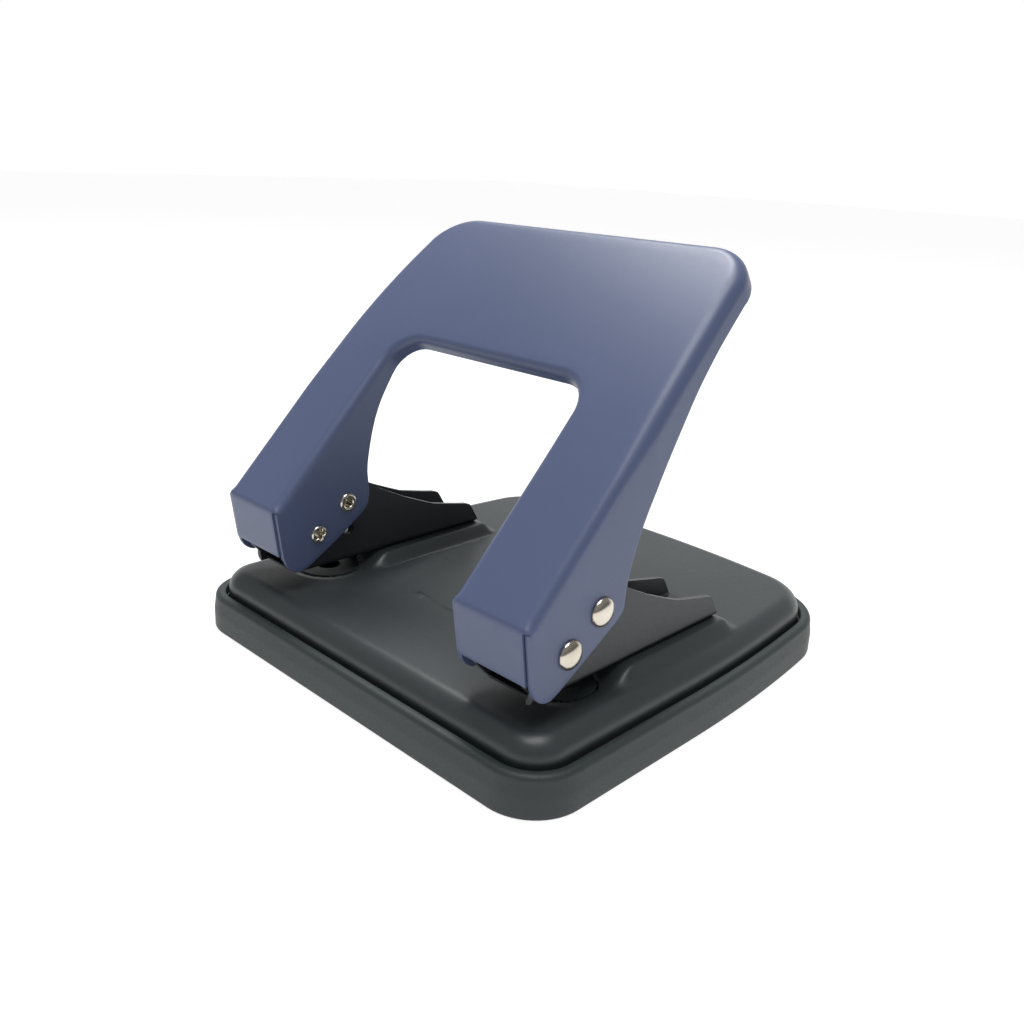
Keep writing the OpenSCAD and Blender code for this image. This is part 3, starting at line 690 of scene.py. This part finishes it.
def rivet_profile(cfg, roll, hollow):
    """Half section of a hollow rivet as (radius, place along X from the outer flange's face): dome, rim,
    shank, rolled end and bore."""
    head, shank, bore = cfg.head / 2, cfg.rivet / 2, RIVET_BORE
    inner = -ARM_SPAN
    dome_t = np.radians(np.linspace(90, 12, 14))
    dome = np.column_stack([head * np.cos(dome_t), 0.18 + 1.5 * np.sin(dome_t)])
    rim = [[head, 0.3], [head, 0.12], [head - 0.12, 0.0], [shank, 0.0]]
    curl_t = np.radians(np.linspace(-90, 90, 10))
    curl_r = (roll - bore) / 2
    curl = np.column_stack([bore + curl_r + curl_r * np.sin(curl_t)[::-1], inner - 0.55 * np.cos(curl_t)])
    return np.vstack([dome, rim, [[shank, inner + 0.02], [roll, inner]], curl[1:],
                      [[bore, inner + 0.5], [bore - 0.05, inner + hollow], [0.001, inner + hollow + 0.2]]])


def build_rivets(cfg):
    """The four hollow rivets, each a half section turned about its own axis."""
    for side, sx in (("left", -1.0), ("right", 1.0)):
        for kind, roll, hollow in (("pivot", 2.15, 1.0), ("drive", 2.35, 1.7)):
            low, high = node_box(f"{side}_{kind}_rivet")
            y, z = (low[1] + high[1]) / 2, (low[2] + high[2]) / 2
            pts = revolve(rivet_profile(cfg, roll, hollow), (sx, 0, 0), (sx * ARM_FACE, y, z), 72,
                          lobes=PETAL_DEPTH if kind == "pivot" else 0.0)
            faces = grid_faces(*pts.shape[:2], wrap=True)
            piece = surface(f"{side}_{kind}_rivet_turned", pts, faces, stocked("nickel_plate"), "lever",
                            [f"{side}_{kind}_rivet"], smooth=40)
            weld(piece)
            outward(piece)


def outward(piece):
    """Turns a closed mesh's faces outwards."""
    b = bmesh.new()
    b.from_mesh(piece.data)
    bmesh.ops.recalc_face_normals(b, faces=b.faces)
    b.to_mesh(piece.data)
    b.free()


def build_springs(cfg):
    """Helical wire: a circle of the wire's radius carried along a helix whose first and last part lie
    flat."""
    for side, sx in (("left", -1.0), ("right", 1.0)):
        low, high = node_box(f"{side}_return_spring")
        wire = cfg.wire / 2
        t = np.linspace(0, 1, cfg.turns * 48 + 1)[:, None]
        b = np.linspace(0, 2 * math.pi, 12, endpoint=False)[None, :]
        lift = np.clip((t - 0.12) / 0.76, 0, 1)
        z = low[2] + wire + (high[2] - low[2] - cfg.wire) * lift
        a = 2 * math.pi * cfg.turns * t
        radius = (high[0] - low[0]) / 2 - wire
        pts = np.stack([sx * DIE_X + (radius + wire * np.cos(b)) * np.cos(a),
                        PUNCH_Y + (radius + wire * np.cos(b)) * np.sin(a), z + wire * np.sin(b) + 0 * a], -1)
        rows, cols = pts.shape[:2]
        faces = grid_faces(rows, cols, wrap=True)[:, ::-1].tolist()
        faces += [list(range(cols)), list(range(rows * cols - 1, (rows - 1) * cols - 1, -1))]
        piece = surface(f"{side}_spring_wire", pts, faces, stocked("drawn_wire"), "base",
                        [f"{side}_return_spring"], smooth=60)
        outward(piece)
        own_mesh(piece)


FINISHES = {
    "black_electrocoat": ["left_bracket", "right_bracket"],
    "graphite_stove_enamel": ["left_die", "right_die"],
    "ground_steel": ["left_guide_bush", "right_guide_bush", "left_punch", "right_punch", "left_bracket_rivets",
                     "right_bracket_rivets"],
    "phosphated_steel": ["left_punch_clip", "right_punch_clip", "left_spring_washer", "right_spring_washer"],
}


def finish_made_parts():
    """Gives each CAD part that shows as it is its real finish, welds its doubled vertices, and breaks the
    brackets' sharp edges.
    """
    for name, parts in FINISHES.items():
        for part in parts:
            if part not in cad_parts:
                raise RuntimeError(f"the frame has no node {part}")
            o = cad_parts[part]
            o.data.materials.clear()
            o.data.materials.append(stocked(name))
            join = o.modifiers.new("joined", "WELD")
            join.merge_threshold = 0.00001
            if "bracket" in part and "rivets" not in part:
                edge = o.modifiers.new("deburred_edge", "BEVEL")
                edge.width = 0.22 * MM
                edge.segments = 2
                edge.limit_method = "ANGLE"
                edge.angle_limit = math.radians(40)


# ---------------------------------------------------------------------- stage
def soft_box(name, place, target, size, power):
    """A square area light at place, aimed at target."""
    data = bpy.data.lights.new(name, "AREA")
    data.size = size
    data.energy = power
    lamp = bpy.data.objects.new(name, data)
    aim = Vector(target) - Vector(place)
    lamp.matrix_world = Matrix.Translation(Vector(place)) @ aim.to_track_quat("-Z", "Y").to_matrix().to_4x4()
    bpy.context.scene.collection.objects.link(lamp)


# level direction from the part towards the backdrop, how nearly a direction points that way where the
# backdrop starts and where it is full, and the heights of a unit direction between which it fades into the
# ceiling
BACKDROP = (-0.69, 0.72, 0.0)
BACKDROP_FROM, BACKDROP_FULL = 0.25, 0.7
CEILING_FROM, CEILING_FULL = 0.16, 0.42
# places of the two lights, m
KEY_PLACE, OVERHEAD_PLACE = (0.12, -0.10, 0.90), (-0.30, 0.25, 0.75)


def build_stage(cfg):
    """Light table, surroundings, soft lights and the camera. The surroundings are bright behind the part
    and dim on the near side and overhead, so that the faces towards the camera stay dark enough."""
    scene = bpy.context.scene
    mesh = bpy.data.meshes.new("board")
    half = 3.0
    corners = [(-half, -half, 0), (half, -half, 0), (half, half, 0), (-half, half, 0)]
    mesh.from_pydata(corners, [], [(0, 1, 2, 3)])
    board = bpy.data.objects.new("board", mesh)
    scene.collection.objects.link(board)
    board.data.materials.append(stocked("opal_light_table"))
    world = bpy.data.worlds.new("surroundings")
    world.use_nodes = True
    tree = world.node_tree
    tree.nodes.clear()
    heading = add_node(tree, "ShaderNodeTexCoord").outputs["Generated"]
    height = add_node(tree, "ShaderNodeSeparateXYZ", links={"Vector": heading}).outputs["Z"]
    behind = add_node(tree, "ShaderNodeVectorMath", {"operation": "DOT_PRODUCT", 1: BACKDROP},
                      {0: heading}).outputs["Value"]
    wall = add_node(tree, "ShaderNodeMapRange",
                    {"From Min": BACKDROP_FROM, "From Max": BACKDROP_FULL, "To Min": cfg.room, "To Max": 1.0},
                    {"Value": behind})
    level = add_node(tree, "ShaderNodeMapRange",
                     {"From Min": CEILING_FROM, "From Max": CEILING_FULL, "To Max": cfg.zenith},
                     {"Value": height, "To Min": wall.outputs["Result"]})
    glow = add_node(tree, "ShaderNodeBackground", {"Color": (1.0, 1.0, 1.0, 1.0)},
                    {"Strength": level.outputs["Result"]})
    add_node(tree, "ShaderNodeOutputWorld", links={"Surface": glow.outputs["Background"]})
    scene.world = world
    scene.view_settings.view_transform = "Standard"
    soft_box("key", KEY_PLACE, (0, 0, 0.05), 0.5, cfg.key)
    soft_box("overhead", OVERHEAD_PLACE, (0, 0, 0.09), 0.35, cfg.overhead)
    az, el, roll = cfg.azimuth, cfg.elevation, cfg.roll
    back_v = Vector((math.sin(az) * math.cos(el), -math.cos(az) * math.cos(el), math.sin(el)))
    right = Vector((math.cos(az), math.sin(az), 0.0))
    up = back_v.cross(right)
    rolled_right = right * math.cos(roll) + up * math.sin(roll)
    rolled_up = -right * math.sin(roll) + up * math.cos(roll)
    turn = Matrix((rolled_right, rolled_up, back_v)).transposed().to_4x4()
    camera = bpy.data.objects.new("camera", bpy.data.cameras.new("camera"))
    camera.data.lens = cfg.lens
    camera.data.sensor_width = 36.0
    camera.data.clip_start = 0.01
    camera.matrix_world = Matrix.Translation(Vector(cfg.eye)) @ turn
    scene.collection.objects.link(camera)
    scene.camera = camera


# ------------------------------------------------------------------ operators
class PUNCH_OT_stage(Operator):
    """Light table, soft lights and camera"""
    bl_idname = "punch.stage"
    bl_label = "Stage"

    def execute(self, context):
        build_stage(context.scene.punch_stage)
        return {"FINISHED"}


class PUNCH_OT_lever(Operator):
    """Folded sheet-steel lever"""
    bl_idname = "punch.lever"
    bl_label = "Lever"

    def execute(self, context):
        build_lever(context.scene.punch_lever)
        return {"FINISHED"}


class PUNCH_OT_plate(Operator):
    """Pressed base plate"""
    bl_idname = "punch.plate"
    bl_label = "Base plate"

    def execute(self, context):
        build_plate(context.scene.punch_base)
        return {"FINISHED"}


class PUNCH_OT_tray(Operator):
    """Moulded chip tray"""
    bl_idname = "punch.tray"
    bl_label = "Chip tray"

    def execute(self, context):
        build_tray()
        return {"FINISHED"}


class PUNCH_OT_rivets(Operator):
    """Hollow pivot and drive rivets"""
    bl_idname = "punch.rivets"
    bl_label = "Rivets"

    def execute(self, context):
        build_rivets(context.scene.punch_hardware)
        return {"FINISHED"}


class PUNCH_OT_springs(Operator):
    """Return springs"""
    bl_idname = "punch.springs"
    bl_label = "Return springs"

    def execute(self, context):
        build_springs(context.scene.punch_hardware)
        return {"FINISHED"}


class PUNCH_OT_made_parts(Operator):
    """Finishes on the brackets, dies, punches, bushes, washers and clips"""
    bl_idname = "punch.made_parts"
    bl_label = "Brackets and small parts"

    def execute(self, context):
        finish_made_parts()
        return {"FINISHED"}


STEPS = (PUNCH_OT_stage, PUNCH_OT_lever, PUNCH_OT_plate, PUNCH_OT_tray, PUNCH_OT_rivets, PUNCH_OT_springs,
         PUNCH_OT_made_parts)


class PUNCH_PT_panel(Panel):
    """Lists the pieces of the desk punch"""
    bl_idname = "PUNCH_PT_panel"
    bl_label = "Desk punch"
    bl_space_type = "VIEW_3D"
    bl_region_type = "UI"
    bl_category = "Desk punch"

    def draw(self, context):
        for step in STEPS:
            self.layout.operator(step.bl_idname)


GROUPS = {"punch_lever": PunchLeverSettings, "punch_base": PunchBaseSettings,
          "punch_hardware": PunchHardwareSettings, "punch_stage": PunchStageSettings}


def register():
    """Adds the settings, operators and panel."""
    for name, group in GROUPS.items():
        bpy.utils.register_class(group)
        setattr(bpy.types.Scene, name, PointerProperty(type=group))
    for cls in (*STEPS, PUNCH_PT_panel):
        bpy.utils.register_class(cls)


def unregister():
    """Takes the settings, operators and panel away again."""
    for cls in (PUNCH_PT_panel, *reversed(STEPS)):
        bpy.utils.unregister_class(cls)
    for name, group in GROUPS.items():
        delattr(bpy.types.Scene, name)
        bpy.utils.unregister_class(group)


def main():
    """Builds everything through the operators."""
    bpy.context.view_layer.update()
    register()
    bpy.ops.punch.stage()
    bpy.ops.punch.lever()
    bpy.ops.punch.plate()
    bpy.ops.punch.tray()
    bpy.ops.punch.rivets()
    bpy.ops.punch.springs()
    bpy.ops.punch.made_parts()


if __name__ == "__main__":
    main()
